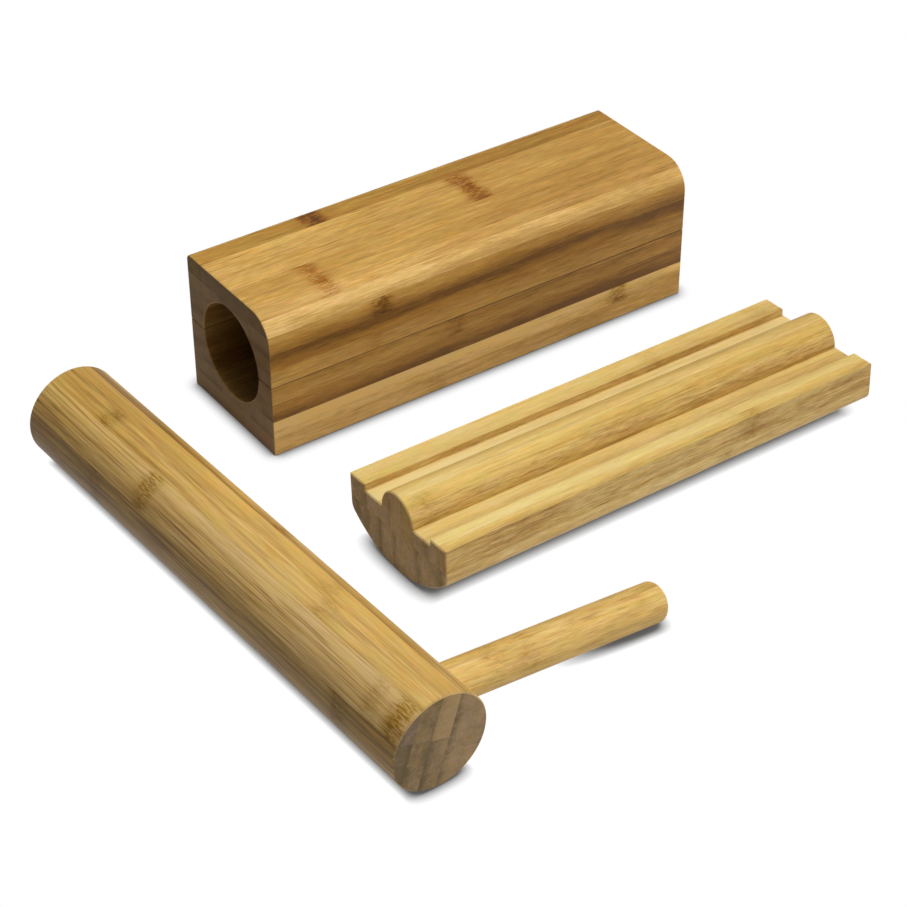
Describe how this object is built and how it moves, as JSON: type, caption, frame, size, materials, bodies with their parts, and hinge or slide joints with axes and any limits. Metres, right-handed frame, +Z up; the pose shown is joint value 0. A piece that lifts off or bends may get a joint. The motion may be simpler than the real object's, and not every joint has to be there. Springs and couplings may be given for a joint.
{
  "type": "sushi rice mould press",
  "caption": "Laminated bamboo sushi roll mould: a two-part block with a through bore, a round-backed rice shaper with a half-round ridge, and a round plunger with a side handle.",
  "frame": {"origin": "centre of the mould block's base, on the surface that it stands on", "axes": "+X along the bore, away from the plunger; +Y away from the shaper; +Z up, the way the upper half lifts off"},
  "size_m": [0.2932, 0.2567, 0.064],
  "materials": {
    "mould_bamboo": "sanded and oiled",
    "mould_bamboo_dark": "sanded and oiled",
    "shaper_bamboo": "sanded and oiled",
    "plunger_bamboo": "sanded and oiled",
    "handle_bamboo": "sanded and oiled",
    "peg_wood": "plain dowel"
  },
  "bodies": {
    "lower_half": {"locating_pegs": "peg_wood", "lower_base_strip_1": "mould_bamboo", "lower_base_strip_2": "mould_bamboo", "lower_base_strip_3": "mould_bamboo_dark", "lower_floor_strip_1": "mould_bamboo", "lower_floor_strip_2": "mould_bamboo", "lower_floor_strip_3": "mould_bamboo", "lower_rim_strip_1": "mould_bamboo", "lower_rim_strip_2": "mould_bamboo", "lower_wall_strip_1": "mould_bamboo_dark", "lower_wall_strip_2": "mould_bamboo_dark", "lower_wall_strip_3": "mould_bamboo", "lower_wall_strip_4": "mould_bamboo"},
    "upper_half": {"upper_rim_strip_1": "mould_bamboo", "upper_rim_strip_2": "mould_bamboo", "upper_roof_strip_1": "mould_bamboo", "upper_roof_strip_2": "mould_bamboo", "upper_roof_strip_3": "mould_bamboo", "upper_top_strip_1": "mould_bamboo", "upper_top_strip_2": "mould_bamboo", "upper_top_strip_3": "mould_bamboo", "upper_top_strip_4": "mould_bamboo", "upper_wall_strip_1": "mould_bamboo_dark", "upper_wall_strip_2": "mould_bamboo_dark"},
    "shaper": {"shaper_back_strip_1": "shaper_bamboo", "shaper_back_strip_2": "shaper_bamboo", "shaper_back_strip_3": "shaper_bamboo", "shaper_back_strip_4": "shaper_bamboo", "shaper_back_strip_5": "shaper_bamboo", "shaper_back_strip_6": "shaper_bamboo", "shaper_back_strip_7": "shaper_bamboo", "shaper_back_strip_8": "shaper_bamboo", "shaper_back_strip_9": "shaper_bamboo", "shaper_face_strip_1": "shaper_bamboo", "shaper_face_strip_2": "shaper_bamboo", "shaper_face_strip_3": "shaper_bamboo", "shaper_face_strip_4": "shaper_bamboo", "shaper_face_strip_5": "shaper_bamboo", "shaper_face_strip_6": "shaper_bamboo", "shaper_face_strip_7": "shaper_bamboo", "shaper_face_strip_8": "shaper_bamboo"},
    "plunger": {"plunger_handle": "handle_bamboo", "plunger_layer_1_strip_1": "plunger_bamboo", "plunger_layer_1_strip_2": "plunger_bamboo", "plunger_layer_2_strip_1": "plunger_bamboo", "plunger_layer_2_strip_2": "plunger_bamboo", "plunger_layer_3_strip_1": "plunger_bamboo", "plunger_layer_3_strip_2": "plunger_bamboo", "plunger_layer_4_strip_1": "plunger_bamboo", "plunger_layer_4_strip_2": "plunger_bamboo", "plunger_layer_5_strip_1": "plunger_bamboo", "plunger_layer_5_strip_2": "plunger_bamboo"}
  },
  "joints": [
    {"name": "upper_half_lift", "type": "slide", "parent": "lower_half", "child": "upper_half", "axis": [0, 0, 1], "range_m": [0, 0.06]},
    {"name": "shaper_press", "type": "slide", "parent": "lower_half", "child": "shaper", "axis": [0, 0, 1], "range_m": [0, 0.06]},
    {"name": "plunger_stroke", "type": "slide", "parent": "lower_half", "child": "plunger", "axis": [0.045, -0.999, 0], "range_m": [0, 0.21]}
  ]
}
